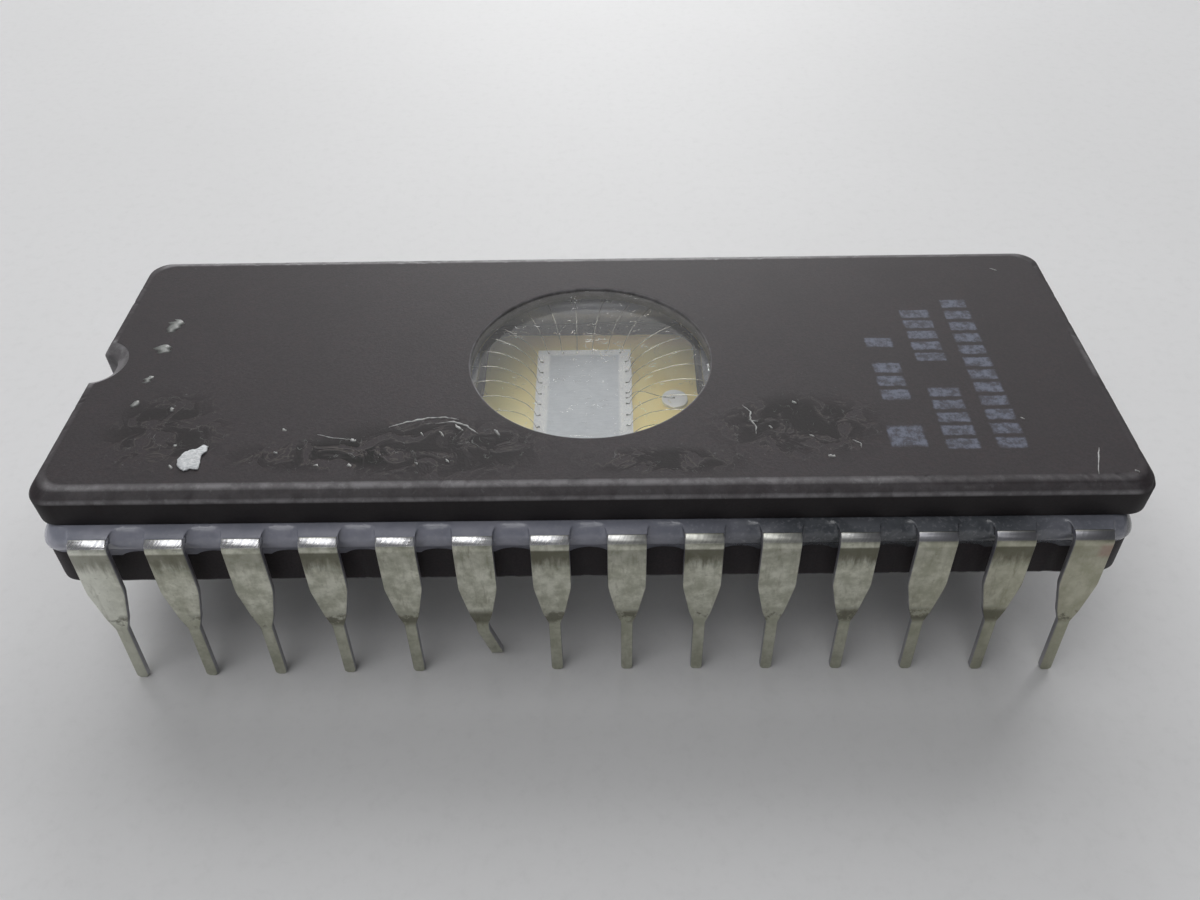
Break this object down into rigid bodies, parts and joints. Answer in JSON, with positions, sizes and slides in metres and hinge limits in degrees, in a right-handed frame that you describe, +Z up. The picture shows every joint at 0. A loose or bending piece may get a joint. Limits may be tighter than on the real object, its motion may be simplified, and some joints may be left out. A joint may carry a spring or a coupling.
{
  "type": "eprom chip",
  "caption": "Windowed ceramic memory chip: two dark tiles sealed with glass round a lead frame, a clear round window over the die, and a row of bent leads along each side.",
  "frame": {"origin": "on the plane that the lead tips stand on, below the middle of the package", "axes": "+X along the package away from its notched end, +Y across it, +Z up through the lid"},
  "size_m": [0.0372, 0.0168, 0.0081],
  "materials": {
    "ceramic": "matte dark brown-grey pressed ceramic, scuffed along its edges",
    "window_glass": "clear polished, lightly scratched",
    "seal_glass": "opaque glossy bluish grey",
    "lead_metal": "dull tin plating with bright bends and dark stains",
    "gold": "satin gold metallising",
    "silicon": "polished light blue-grey with a speckled edge",
    "disc_metal": "satin",
    "wire_metal": "bright drawn wire"
  },
  "bodies": {
    "root": {"ceramic_base": "ceramic", "ceramic_lid": "ceramic", "window_lens": "window_glass", "sealing_glass": "seal_glass", "die_attach_pad": "gold", "eprom_die": "silicon", "ground_disc": "disc_metal", "bond_wires": "wire_metal", "lead_01": "lead_metal", "lead_02": "lead_metal", "lead_03": "lead_metal", "lead_04": "lead_metal", "lead_05": "lead_metal", "lead_06": "lead_metal", "lead_07": "lead_metal", "lead_08": "lead_metal", "lead_09": "lead_metal", "lead_10": "lead_metal", "lead_11": "lead_metal", "lead_12": "lead_metal", "lead_13": "lead_metal", "lead_14": "lead_metal", "lead_15": "lead_metal", "lead_16": "lead_metal", "lead_17": "lead_metal", "lead_18": "lead_metal", "lead_19": "lead_metal", "lead_20": "lead_metal", "lead_21": "lead_metal", "lead_22": "lead_metal", "lead_23": "lead_metal", "lead_24": "lead_metal", "lead_25": "lead_metal", "lead_26": "lead_metal", "lead_27": "lead_metal", "lead_28": "lead_metal"}
  },
  "joints": []
}
